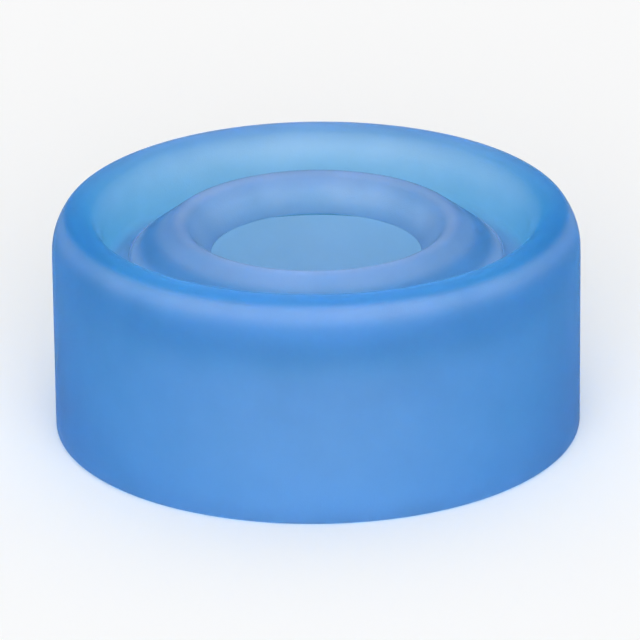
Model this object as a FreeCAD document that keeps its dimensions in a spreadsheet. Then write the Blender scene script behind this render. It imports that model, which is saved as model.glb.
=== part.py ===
import FreeCAD, Part
import math
import os
import Sketcher

# A soft sealing sleeve, moulded in one piece: a cylindrical skirt that stretches over the end
# of a tube, a full-round rim, a narrow ring groove, a raised bead and a central hole with a
# thin edge. Millimetres. The frame's origin is the centre of the skirt's bottom face, +Z up.

SIZES = {
    "outer_diameter": 70.0,
    "total_height": 30.5,
    "skirt_bore": 61.0,
    "skirt_edge_blend": 0.5,
    # rim: its side leans in above rim_side_height, then rolls over the top
    "rim_side_height": 27.1,
    "rim_side_blend": 8.0,
    "rim_top_outer_diameter": 65.8,
    "rim_top_outer_blend": 2.5,
    "rim_top_inner_diameter": 60.4,
    "rim_top_inner_blend": 2.2,
    # groove between the rim and the bead
    "groove_outer_diameter": 57.0,
    "groove_outer_height": 28.0,
    "groove_outer_blend": 5.5,
    "groove_floor_diameter": 55.2,
    "groove_floor_height": 22.8,
    "groove_floor_blend": 1.4,
    # bead: the raised ring around the hole
    "bead_diameter": 49.5,
    "bead_shoulder_height": 24.1,
    "bead_shoulder_blend": 1.7,
    "bead_apex_diameter": 35.9,
    "bead_apex_height": 29.3,
    "bead_apex_blend": 1.9,
    # hole: the bead tapers to a thin edge
    "hole_diameter": 27.5,
    "hole_edge_height": 24.0,
    "hole_edge_blend": 0.15,
    # underside: flat beneath the bead, then down to the web that carries the groove
    "lip_root_diameter": 35.0,
    "lip_root_height": 23.5,
    "lip_root_blend": 3.0,
    "web_inner_diameter": 47.0,
    "web_inner_blend": 3.0,
    "web_underside_height": 20.0,
    "skirt_root_blend": 2.5,
}

# The half section, counter-clockwise from the bottom of the skirt's bore. Each corner is
# (name, diameter, height, blend radius), and the last three name a size above, or are 0.
CORNERS = [
    ("skirt_inner_edge", "skirt_bore", "0", "skirt_edge_blend"),
    ("skirt_outer_edge", "outer_diameter", "0", "skirt_edge_blend"),
    ("rim_side", "outer_diameter", "rim_side_height", "rim_side_blend"),
    ("rim_top_outer", "rim_top_outer_diameter", "total_height", "rim_top_outer_blend"),
    ("rim_top_inner", "rim_top_inner_diameter", "total_height", "rim_top_inner_blend"),
    ("groove_mouth", "groove_outer_diameter", "groove_outer_height", "groove_outer_blend"),
    ("groove_floor_outer", "groove_floor_diameter", "groove_floor_height", "groove_floor_blend"),
    ("groove_floor_inner", "bead_diameter", "groove_floor_height", "groove_floor_blend"),
    ("bead_shoulder", "bead_diameter", "bead_shoulder_height", "bead_shoulder_blend"),
    ("bead_apex", "bead_apex_diameter", "bead_apex_height", "bead_apex_blend"),
    ("hole_edge", "hole_diameter", "hole_edge_height", "hole_edge_blend"),
    ("lip_root", "lip_root_diameter", "lip_root_height", "lip_root_blend"),
    ("web_inner", "web_inner_diameter", "web_underside_height", "web_inner_blend"),
    ("skirt_root", "skirt_bore", "web_underside_height", "skirt_root_blend"),
]

START = 1
END = 2
ORIGIN = -1


def make_sheet(doc):
    """The spreadsheet of driving sizes, one named cell each."""
    sheet = doc.addObject("Spreadsheet::Sheet", "Sizes")
    for row, (name, value) in enumerate(SIZES.items(), start=1):
        sheet.set(f"A{row}", name)
        sheet.set(f"B{row}", str(value))
        sheet.setAlias(f"B{row}", name)
    doc.recompute()
    return sheet


def size(sheet, name):
    return 0.0 if name == "0" else float(sheet.get(name))


def corner_point(sheet, corner):
    name, diameter, height, blend = corner
    return FreeCAD.Vector(size(sheet, diameter) / 2, size(sheet, height), 0)


def blend_arc(before, corner, after, radius):
    """The arc that rounds a corner, and whether the outline runs along it anticlockwise."""
    arriving = (corner - before).normalize()
    leaving = (after - corner).normalize()
    turn = math.acos(arriving.dot(leaving))
    setback = radius * math.tan(turn / 2)
    left_turn = arriving.cross(leaving).z > 0
    side = FreeCAD.Vector(0, 0, 1 if left_turn else -1).cross(arriving)
    centre = corner - arriving * setback + side * radius
    first = corner - arriving * setback - centre
    last = corner + leaving * setback - centre
    if not left_turn:
        first, last = last, first
    circle = Part.Circle(centre, FreeCAD.Vector(0, 0, 1), radius)
    arc = Part.ArcOfCircle(circle, math.atan2(first.y, first.x), math.atan2(last.y, last.x))
    return arc, left_turn


def add_arcs(sketch, sheet, points):
    """One blend arc per corner, as (geometry number, entry end, exit end)."""
    arcs = []
    for index, corner in enumerate(CORNERS):
        after = points[(index + 1) % len(points)]
        radius = size(sheet, corner[3])
        arc, left_turn = blend_arc(points[index - 1], points[index], after, radius)
        ends = (START, END) if left_turn else (END, START)
        arcs.append((sketch.addGeometry(arc, False), *ends))
    return arcs


def add_lines(sketch, arcs):
    """A straight line from each arc to the next, tangent to both."""
    lines = []
    for index, (arc, entry, leave) in enumerate(arcs):
        next_arc, next_entry, next_leave = arcs[(index + 1) % len(arcs)]
        here = sketch.getPoint(arc, leave)
        there = sketch.getPoint(next_arc, next_entry)
        line = sketch.addGeometry(Part.LineSegment(here, there), False)
        sketch.addConstraint(Sketcher.Constraint("Tangent", arc, leave, line, START))
        sketch.addConstraint(Sketcher.Constraint("Tangent", line, END, next_arc, next_entry))
        lines.append(line)
    return lines


def bind(sketch, constraint, name, expression):
    """Add one dimension and let the sheet drive it."""
    number = sketch.addConstraint(constraint)
    sketch.renameConstraint(number, name)
    sketch.setExpression("Constraints." + name, expression)


def place_corner(sketch, corner, point, arc, lines):
    """Pin a corner's two coordinates and its blend radius to the sheet."""
    name, diameter, height, blend = corner
    mark = sketch.addGeometry(Part.Point(point), True)
    for line in lines:
        sketch.addConstraint(Sketcher.Constraint("PointOnObject", mark, START, line))
    across = Sketcher.Constraint("DistanceX", ORIGIN, START, mark, START, point.x)
    bind(sketch, across, name + "_r", f"Sizes.{diameter} / 2")
    if height == "0":
        sketch.addConstraint(Sketcher.Constraint("PointOnObject", mark, START, ORIGIN))
    else:
        up = Sketcher.Constraint("DistanceY", ORIGIN, START, mark, START, point.y)
        bind(sketch, up, name + "_z", f"Sizes.{height}")
    radius = Sketcher.Constraint("Radius", arc, sketch.Geometry[arc].Radius)
    bind(sketch, radius, name + "_blend", f"Sizes.{blend}")


def draw_section(sketch, sheet):
    """The closed half section of the sleeve, fully constrained."""
    points = [corner_point(sheet, corner) for corner in CORNERS]
    arcs = add_arcs(sketch, sheet, points)
    lines = add_lines(sketch, arcs)
    for index, corner in enumerate(CORNERS):
        sides = (lines[index - 1], lines[index])
        place_corner(sketch, corner, points[index], arcs[index][0], sides)


def make_sleeve(doc, sheet):
    """The sleeve: its half section turned once around the Z axis."""
    body = doc.addObject("PartDesign::Body", "SealSleeve")
    body.Label = "seal_sleeve"
    plane = next(item for item in body.Origin.OriginFeatures if item.Role == "XZ_Plane")
    sketch = body.newObject("Sketcher::SketchObject", "SleeveSection")
    sketch.AttachmentSupport = [(plane, "")]
    sketch.MapMode = "FlatFace"
    doc.recompute()
    draw_section(sketch, sheet)
    doc.recompute()
    turned = body.newObject("PartDesign::Revolution", "SleeveTurned")
    turned.Profile = sketch
    turned.ReferenceAxis = (sketch, ["V_Axis"])
    turned.Angle = 360.0
    sketch.Visibility = False
    doc.recompute()
    body.Placement = FreeCAD.Placement(FreeCAD.Vector(0, 0, 0), FreeCAD.Rotation(0, 0, 0))
    return body


def check(doc, parts):
    """Stop on any object that failed and on any sub-part without a valid solid."""
    for item in doc.Objects:
        if "Invalid" in item.State or "Error" in item.State:
            raise RuntimeError(f"{item.Name} did not recompute: {item.State}")
    for part in parts:
        if part.Shape.isNull() or not part.Shape.isValid():
            raise RuntimeError(f"{part.Label} has no valid shape")
        box = part.Shape.optimalBoundingBox()
        print(part.Label, "solids", len(part.Shape.Solids), "volume", round(part.Shape.Volume),
              "box", round(box.XLength, 2), round(box.YLength, 2), round(box.ZLength, 2))


def main():
    doc = FreeCAD.newDocument("SealSleeve")
    sheet = make_sheet(doc)
    parts = [make_sleeve(doc, sheet)]
    doc.recompute()
    check(doc, parts)
    os.makedirs("parts", exist_ok=True)
    for part in parts:
        part.Shape.exportStep(f"parts/{part.Label}.step")


main()
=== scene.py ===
"""Visual model of a frosted blue elastomer sleeve: one soft moulded ring with an open skirt,
a rounded rim, a ring groove, a raised inner bead and a thin-edged central hole.

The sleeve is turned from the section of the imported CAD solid, so it keeps the CAD's sizes.
Lengths are in metres and angles in degrees. +Z is the axis of the sleeve and the floor is z = 0.
"""

import math

import bpy
import numpy as np
from mathutils import Matrix, Vector


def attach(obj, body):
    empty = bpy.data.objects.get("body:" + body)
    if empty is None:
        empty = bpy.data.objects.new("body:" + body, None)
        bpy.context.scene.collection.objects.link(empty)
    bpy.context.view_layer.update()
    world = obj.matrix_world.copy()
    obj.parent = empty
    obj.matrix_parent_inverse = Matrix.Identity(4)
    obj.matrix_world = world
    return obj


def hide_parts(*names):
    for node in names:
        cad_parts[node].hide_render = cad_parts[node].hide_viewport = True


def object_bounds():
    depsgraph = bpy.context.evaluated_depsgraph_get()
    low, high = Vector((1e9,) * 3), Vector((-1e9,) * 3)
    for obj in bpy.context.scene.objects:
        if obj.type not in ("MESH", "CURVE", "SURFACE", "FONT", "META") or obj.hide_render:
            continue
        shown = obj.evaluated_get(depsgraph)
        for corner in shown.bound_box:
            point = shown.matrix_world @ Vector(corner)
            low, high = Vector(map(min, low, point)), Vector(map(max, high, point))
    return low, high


MM = 0.001

# The CAD node that the visual piece stands for, and its body.
NODE = "seal_sleeve"
BODY = "root"

# Measures kept on the mesh: how thick the pale haze is, with its painted highlights and shade,
# and how rough the skin is.
HAZE_AND_HIGHLIGHT_LAYER = "haze_and_highlights"
ROUGHNESS_LAYER = "skin_roughness"

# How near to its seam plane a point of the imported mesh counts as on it.
PLANE_TOLERANCE = 0.002 * MM

# The section is resampled at a fine step and smoothed. A point is then kept after each long
# step, or after each bend of so many degrees. SEGMENTS is how many flats go round the axis.
FINE_STEP = 0.0875 * MM
SMOOTHING = 0.16 * MM
LONG_STEP = 1.4 * MM
BEND_LIMIT = 5.0
SEGMENTS = 288

# The elastomer's depth: how much red, green and blue its dye takes per metre.
DYE_ABSORPTION = (155.3, 13.0, 1.0)

# Its clear body: the tint of the skin that light passes, and how it bends light.
BODY_TINT = (0.62, 0.629, 0.868, 1.0)
REFRACTION = 1.41

# How rough the skin is: on the side wall, on the rim, groove and bead, and in the cavity.
WALL_ROUGHNESS = 0.8
TOP_ROUGHNESS = 0.766
CAVITY_ROUGHNESS = 0.85

# Where those are, in millimetres. The side wall is below this height and outside this radius.
# The cavity is what is within any of these radii and below the height given with it.
WALL_TOP = 27.1
WALL_INSIDE = 30.0
CAVITY_STEPS = [(31.2, 20.6), (24.2, 23.0), (17.2, 23.7)]

# The pale haze on its skin, and how thick it is from 0 to 1, outside and in the cavity. Its colour
# is also that of the painted highlights of the bands below. In the cavity it is thicker all over,
# so the underside is paler.
HAZE_AND_HIGHLIGHT_COLOUR = (0.84, 0.88, 0.97, 1.0)
HAZE_AND_HIGHLIGHT_ROUGHNESS = 0.5
HAZE_OUTSIDE = 0.018
HAZE_IN_CAVITY = 0.07

# Painted highlights and shade: bands round the axis where the haze outside is thicker, which
# paints highlights on the rim, groove and bead, or thinner, which paints shade on the rim top.
# The radius, height and spread of each in millimetres, and how much it adds.
PAINTED_HIGHLIGHT_AND_SHADE_BANDS = {
    "rim_outside": (33.6, 28.9, 1.0, 0.085),
    "rim_top": (31.5, 30.5, 1.2, -0.15),
    "rim_inside": (28.6, 27.6, 2.2, 0.085),
    "groove_floor": (26.0, 23.5, 2.0, 0.07),
    "bead_shoulder": (24.3, 24.1, 0.8, 0.21),
    "bead_slope": (20.3, 27.6, 1.0, 0.12),
    "bead_apex": (17.9, 29.0, 0.9, 0.165),
    "hole_slope": (15.4, 26.6, 1.6, 0.17),
}

# The skin's grain, which is a bump.
GRAIN_SIZE = 0.22 * MM
GRAIN_HEIGHT = 0.03 * MM
GRAIN_DETAIL = 2.0

# Its cloudy patches, and the factors that tint, roughness and the haze with its painted
# highlights vary between in them.
CLOUD_SIZE = 7.0 * MM
CLOUD_DETAIL = 3.0
TINT_CLOUDING = (0.88, 1.12)
ROUGHNESS_CLOUDING = (0.88, 1.12)
HAZE_AND_HIGHLIGHT_CLOUDING = (0.5, 1.5)

# Where a mix node set to colours keeps its two colours and its result. It has sockets of the
# same names for numbers, so they are found by place.
MIX_COLOURS = (6, 7)
MIX_COLOUR_RESULT = 2

# The studio: soft lights far away, each a bearing, an elevation and a strength. A bearing of 0
# is behind the sleeve (+Y), 90 is on its right (+X) and 180 is the camera's side.
SOFT_LIGHTS = [
    (180, 10.0, 7.604),
    (0, 90.0, 0.982),
    (30, 45.0, 0.539),
    (330, 45.0, 0.539),
    (60, 10.0, 0.2),
    (300, 10.0, 0.2),
    (120, 10.0, 0.2),
    (240, 10.0, 0.2),
    (150, 45.0, 0.1),
    (210, 45.0, 0.1),
]

# A light's strength falls with this power of the cosine of the angle from its middle.
SOFT_LIGHT_FALLOFF = 6.0

# The backdrop that the camera sees behind the floor.
BACKDROP_STRENGTH = 1.0
WHITE = (1.0, 1.0, 1.0, 1.0)

# The floor, which is a little below the sleeve so that the two don't share a plane.
FLOOR_HALF = 20.0
FLOOR_GAP = 0.1 * MM
FLOOR_COLOUR = (0.95, 0.95, 0.95, 1.0)
FLOOR_ROUGHNESS = 0.9

# The camera, which looks along +Y and down at the middle of the sleeve. The lens and the
# sensor are in millimetres.
CAMERA_ELEVATION = 22.19
CAMERA_DISTANCE = 0.8995
CAMERA_LENS = 380.5
CAMERA_SENSOR = 36.0
CAMERA_ROLL = -0.6
CAMERA_SHIFT = (0.0048, -0.0103)
CAMERA_CLIP_START = 0.01


def section_loop(node):
    """The closed outline of the solid's half section, as rows of radius and height.

    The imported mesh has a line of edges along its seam, in the plane y = 0 on the +X side.
    """
    mesh = node.data
    points = np.array([v.co for v in mesh.vertices], float)
    on_seam = (np.abs(points[:, 1]) < PLANE_TOLERANCE) & (points[:, 0] > 0)
    keys = {}
    for index in np.flatnonzero(on_seam):
        key = tuple(np.round(points[index][[0, 2]] / PLANE_TOLERANCE).astype(int))
        keys[int(index)] = key
    links = {}
    for edge in mesh.edges:
        a, b = edge.vertices
        if a in keys and b in keys and keys[a] != keys[b]:
            links.setdefault(keys[a], set()).add(keys[b])
            links.setdefault(keys[b], set()).add(keys[a])
    start = min(links)
    loop = [start]
    came_from = None
    here = start
    while True:
        ahead = [k for k in links[here] if k != came_from]
        came_from = here
        here = ahead[0]
        if here == start:
            break
        loop.append(here)
    return np.array(loop, float) * PLANE_TOLERANCE


def resampled(loop, step):
    """The closed outline with points every step along its length."""
    closed = np.vstack([loop, loop[:1]])
    length = np.r_[0.0, np.cumsum(np.linalg.norm(np.diff(closed, axis=0), axis=1))]
    count = int(round(length[-1] / step))
    at = np.arange(count) * length[-1] / count
    radius = np.interp(at, length, closed[:, 0])
    height = np.interp(at, length, closed[:, 1])
    return np.column_stack([radius, height])


def smoothed(loop, width, step):
    """The closed outline with its flats rounded off by a bell-shaped average."""
    reach = int(math.ceil(3 * width / step))
    offsets = np.arange(-reach, reach + 1)
    weights = np.exp(-0.5 * (offsets * step / width) ** 2)
    weights /= weights.sum()
    return sum(w * np.roll(loop, o, axis=0) for w, o in zip(weights, offsets))


def thinned(loop, longest, bend):
    """The outline with fewer points where it is straight. A bend is in degrees."""
    kept = [0]
    run = 0.0
    turned = 0.0
    for i in range(1, len(loop)):
        before = loop[i] - loop[i - 1]
        after = loop[(i + 1) % len(loop)] - loop[i]
        run += np.linalg.norm(before)
        cross = before[0] * after[1] - before[1] * after[0]
        turned += abs(math.degrees(math.atan2(cross, before @ after)))
        if run >= longest or turned >= bend:
            kept.append(i)
            run = 0.0
            turned = 0.0
    return loop[kept]


def turned_mesh(name, loop, segments):
    """A closed mesh made by turning the outline round the Z axis."""
    angles = np.arange(segments) * 2 * math.pi / segments
    verts = []
    for angle in angles:
        for radius, height in loop:
            verts.append((radius * math.cos(angle), radius * math.sin(angle), height))
    count = len(loop)
    faces = []
    for i in range(segments):
        here = i * count
        ahead = ((i + 1) % segments) * count
        for j in range(count):
            k = (j + 1) % count
            faces.append((here + j, ahead + j, ahead + k, here + k))
    mesh = bpy.data.meshes.new(name)
    mesh.from_pydata(verts, [], faces)
    mesh.update()
    return mesh


def outward(mesh):
    """Turns every face of a closed mesh to face out."""
    volume = 0.0
    for polygon in mesh.polygons:
        volume += polygon.center.dot(polygon.normal) * polygon.area
    if volume < 0:
        mesh.flip_normals()


def in_cavity(loop):
    """Which points of the outline are on the underside, inside the skirt."""
    inside = np.zeros(len(loop), bool)
    for radius, height in CAVITY_STEPS:
        inside |= (loop[:, 0] < radius * MM) & (loop[:, 1] < height * MM)
    return inside


def haze_and_highlights_along(loop):
    """How thick the haze is at each point of the outline, from 0 to 1, with the bands of painted
    highlights and painted shade added.
    """
    haze_and_highlights = np.full(len(loop), HAZE_OUTSIDE)
    # Each band paints a highlight, or with a negative amount a shade.
    for radius, height, spread, amount in PAINTED_HIGHLIGHT_AND_SHADE_BANDS.values():
        away = np.linalg.norm(loop / MM - (radius, height), axis=1)
        haze_and_highlights += amount * np.exp(-0.5 * (away / spread) ** 2)
    haze_and_highlights[in_cavity(loop)] = HAZE_IN_CAVITY
    return np.clip(haze_and_highlights, 0.0, 1.0)


def roughness_along(loop):
    """How rough the skin is at each point of the outline."""
    on_top = (loop[:, 1] > WALL_TOP * MM) | (loop[:, 0] < WALL_INSIDE * MM)
    roughness = np.where(on_top, TOP_ROUGHNESS, WALL_ROUGHNESS)
    roughness[in_cavity(loop)] = CAVITY_ROUGHNESS
    return roughness


def store_round_axis(mesh, name, values, segments):
    """Keeps a measure of the outline on the mesh, the same all the way round the axis."""
    layer = mesh.attributes.new(name, "FLOAT", "POINT")
    layer.data.foreach_set("value", np.tile(values, segments).astype(np.float32))


def noise(tree, size, detail):
    """A noise texture fixed to the object, with features of the given size."""
    place = tree.nodes.new("ShaderNodeTexCoord")
    texture = tree.nodes.new("ShaderNodeTexNoise")
    texture.inputs["Scale"].default_value = 1 / size
    texture.inputs["Detail"].default_value = detail
    tree.links.new(place.outputs["Object"], texture.inputs["Vector"])
    return texture.outputs["Fac"]


def ranged(tree, value, low, high):
    """The value, spread from low to high."""
    spread = tree.nodes.new("ShaderNodeMapRange")
    spread.inputs["To Min"].default_value = low
    spread.inputs["To Max"].default_value = high
    tree.links.new(value, spread.inputs["Value"])
    return spread.outputs["Result"]


def calculated(tree, operation, first, second):
    """A math node on an output and another output or a number."""
    step = tree.nodes.new("ShaderNodeMath")
    step.operation = operation
    tree.links.new(first, step.inputs[0])
    if isinstance(second, (int, float)):
        step.inputs[1].default_value = second
    else:
        tree.links.new(second, step.inputs[1])
    return step.outputs[0]


def clouded(tree, layer_name, clouds, limits):
    """A measure kept on the mesh, made uneven by the clouds between two factors of it."""
    layer = tree.nodes.new("ShaderNodeAttribute")
    layer.attribute_name = layer_name
    return calculated(tree, "MULTIPLY", layer.outputs["Fac"], ranged(tree, clouds, *limits))


def clouded_colour(tree, colour, clouds, limits):
    """A colour made uneven by the clouds between two factors of it."""
    blend = tree.nodes.new("ShaderNodeMix")
    blend.data_type = "RGBA"
    tree.links.new(clouds, blend.inputs["Factor"])
    for place, factor in zip(MIX_COLOURS, limits):
        varied = [part * factor for part in colour[:3]]
        blend.inputs[place].default_value = (*varied, 1.0)
    return blend.outputs[MIX_COLOUR_RESULT]


def grain_normal(tree):
    """The normal of the grained skin."""
    bump = tree.nodes.new("ShaderNodeBump")
    bump.inputs["Distance"].default_value = GRAIN_HEIGHT
    tree.links.new(noise(tree, GRAIN_SIZE, GRAIN_DETAIL), bump.inputs["Height"])
    return bump.outputs["Normal"]


def clear_body(tree, clouds, normal):
    """The rough, clear and tinted part of the skin."""
    body = tree.nodes["Principled BSDF"]
    body.inputs["IOR"].default_value = REFRACTION
    body.inputs["Transmission Weight"].default_value = 1.0
    tint = clouded_colour(tree, BODY_TINT, clouds, TINT_CLOUDING)
    tree.links.new(tint, body.inputs["Base Color"])
    roughness = clouded(tree, ROUGHNESS_LAYER, clouds, ROUGHNESS_CLOUDING)
    tree.links.new(roughness, body.inputs["Roughness"])
    tree.links.new(normal, body.inputs["Normal"])
    return body.outputs["BSDF"]


def pale_haze_and_highlights(tree, normal):
    """The pale, opaque part of the skin: an even haze, and painted highlights where the bands thicken
    it.
    """
    haze_and_highlights = tree.nodes.new("ShaderNodeBsdfPrincipled")
    haze_and_highlights.inputs["Base Color"].default_value = HAZE_AND_HIGHLIGHT_COLOUR
    haze_and_highlights.inputs["Roughness"].default_value = HAZE_AND_HIGHLIGHT_ROUGHNESS
    tree.links.new(normal, haze_and_highlights.inputs["Normal"])
    return haze_and_highlights.outputs["BSDF"]


def dye_in_depth(tree):
    """The dye, whose density is that of the colour it takes most."""
    strongest = max(DYE_ABSORPTION)
    passed = [1 - taken / strongest for taken in DYE_ABSORPTION]
    dye = tree.nodes.new("ShaderNodeVolumeAbsorption")
    dye.inputs["Color"].default_value = (*passed, 1.0)
    dye.inputs["Density"].default_value = strongest
    return dye.outputs["Volume"]


def elastomer():
    """Frosted, dyed elastomer: a rough clear body with dye in its depth and haze on its skin, which
    bands thicken into painted highlights.
    """
    material = bpy.data.materials.new("frosted_elastomer")
    material.use_nodes = True
    tree = material.node_tree
    clouds = noise(tree, CLOUD_SIZE, CLOUD_DETAIL)
    normal = grain_normal(tree)
    skin = tree.nodes.new("ShaderNodeMixShader")
    # How much of the pale haze covers the clear body, with painted highlights and shade in bands.
    amount = clouded(tree, HAZE_AND_HIGHLIGHT_LAYER, clouds, HAZE_AND_HIGHLIGHT_CLOUDING)
    for place, part in enumerate((amount, clear_body(tree, clouds, normal), pale_haze_and_highlights(tree, normal))):
        tree.links.new(part, skin.inputs[place])
    output = tree.nodes["Material Output"]
    tree.links.new(skin.outputs["Shader"], output.inputs["Surface"])
    tree.links.new(dye_in_depth(tree), output.inputs["Volume"])
    return material


def build_sleeve(frame):
    """The sleeve, turned from the CAD solid's own section."""
    loop = section_loop(frame["nodes"][NODE])
    loop = resampled(loop, FINE_STEP)
    loop = smoothed(loop, SMOOTHING, FINE_STEP)
    loop = thinned(loop, LONG_STEP, BEND_LIMIT)
    mesh = turned_mesh("sleeve", loop, SEGMENTS)
    outward(mesh)
    # The pale haze with its bands of painted highlights and shade, kept round the axis.
    store_round_axis(mesh, HAZE_AND_HIGHLIGHT_LAYER, haze_and_highlights_along(loop), SEGMENTS)
    store_round_axis(mesh, ROUGHNESS_LAYER, roughness_along(loop), SEGMENTS)
    mesh.shade_smooth()
    mesh.materials.append(elastomer())
    sleeve = bpy.data.objects.new("sleeve", mesh)
    bpy.context.scene.collection.objects.link(sleeve)
    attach(sleeve, BODY)
    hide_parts(NODE)


def build_floor():
    """A plain pale floor."""
    half = FLOOR_HALF
    corners = [(-half, -half, 0), (half, -half, 0), (half, half, 0), (-half, half, 0)]
    mesh = bpy.data.meshes.new("floor")
    mesh.from_pydata(corners, [], [(0, 1, 2, 3)])
    material = bpy.data.materials.new("floor")
    material.use_nodes = True
    shader = material.node_tree.nodes["Principled BSDF"]
    shader.inputs["Base Color"].default_value = FLOOR_COLOUR
    shader.inputs["Roughness"].default_value = FLOOR_ROUGHNESS
    shader.inputs["Specular IOR Level"].default_value = 0.0
    mesh.materials.append(material)
    floor = bpy.data.objects.new("floor", mesh)
    floor.location.z = -FLOOR_GAP
    bpy.context.scene.collection.objects.link(floor)


def direction_of(bearing, elevation):
    """The unit vector towards a bearing and an elevation."""
    turn = math.radians(bearing)
    rise = math.radians(elevation)
    east = math.sin(turn) * math.cos(rise)
    north = math.cos(turn) * math.cos(rise)
    return (east, north, math.sin(rise))


def soft_light(tree, looking, bearing, elevation, strength):
    """One soft light of the sky: its strength in the direction that is looked in."""
    towards = tree.nodes.new("ShaderNodeVectorMath")
    towards.operation = "DOT_PRODUCT"
    towards.inputs[1].default_value = direction_of(bearing, elevation)
    tree.links.new(looking, towards.inputs[0])
    facing = calculated(tree, "MAXIMUM", towards.outputs["Value"], 0.0)
    glow = calculated(tree, "POWER", facing, SOFT_LIGHT_FALLOFF)
    return calculated(tree, "MULTIPLY", glow, strength)


def build_light():
    """Soft white lights far away. The camera sees a plain white backdrop in their place."""
    world = bpy.data.worlds.new("studio")
    world.use_nodes = True
    tree = world.node_tree
    looking = tree.nodes.new("ShaderNodeTexCoord").outputs["Generated"]
    total = soft_light(tree, looking, *SOFT_LIGHTS[0])
    for row in SOFT_LIGHTS[1:]:
        total = calculated(tree, "ADD", total, soft_light(tree, looking, *row))
    seen = tree.nodes.new("ShaderNodeLightPath")
    choice = tree.nodes.new("ShaderNodeMix")
    choice.data_type = "FLOAT"
    choice.inputs["B"].default_value = BACKDROP_STRENGTH
    tree.links.new(seen.outputs["Is Camera Ray"], choice.inputs["Factor"])
    tree.links.new(total, choice.inputs["A"])
    background = tree.nodes["Background"]
    background.inputs["Color"].default_value = WHITE
    tree.links.new(choice.outputs["Result"], background.inputs["Strength"])
    bpy.context.scene.world = world


def build_camera(low, high):
    """The camera in front of the sleeve, above it, looking down at its middle."""
    middle = Vector((0.0, 0.0, (low.z + high.z) / 2))
    tilt = math.radians(CAMERA_ELEVATION)
    away = Vector((0.0, -math.cos(tilt), math.sin(tilt)))
    camera = bpy.data.cameras.new("camera")
    camera.sensor_width = CAMERA_SENSOR
    camera.lens = CAMERA_LENS
    camera.clip_start = CAMERA_CLIP_START
    camera.shift_x = CAMERA_SHIFT[0]
    camera.shift_y = CAMERA_SHIFT[1]
    holder = bpy.data.objects.new("camera", camera)
    holder.location = middle + away * CAMERA_DISTANCE
    aim = (-away).to_track_quat("-Z", "Y").to_matrix()
    roll = Matrix.Rotation(math.radians(CAMERA_ROLL), 3, "Z")
    holder.rotation_euler = (aim @ roll).to_euler()
    bpy.context.scene.collection.objects.link(holder)
    bpy.context.scene.camera = holder


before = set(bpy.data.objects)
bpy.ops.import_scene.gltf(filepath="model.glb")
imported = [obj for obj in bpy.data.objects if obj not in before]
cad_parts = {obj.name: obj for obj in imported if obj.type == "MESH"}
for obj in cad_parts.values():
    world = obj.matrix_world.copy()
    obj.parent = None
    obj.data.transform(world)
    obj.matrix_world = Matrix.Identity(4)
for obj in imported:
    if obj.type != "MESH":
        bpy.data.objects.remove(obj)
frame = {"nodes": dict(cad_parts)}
cad_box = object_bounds()
build_sleeve(frame)
build_floor()
build_light()
build_camera(*cad_box)
bpy.context.scene.view_settings.view_transform = "Standard"
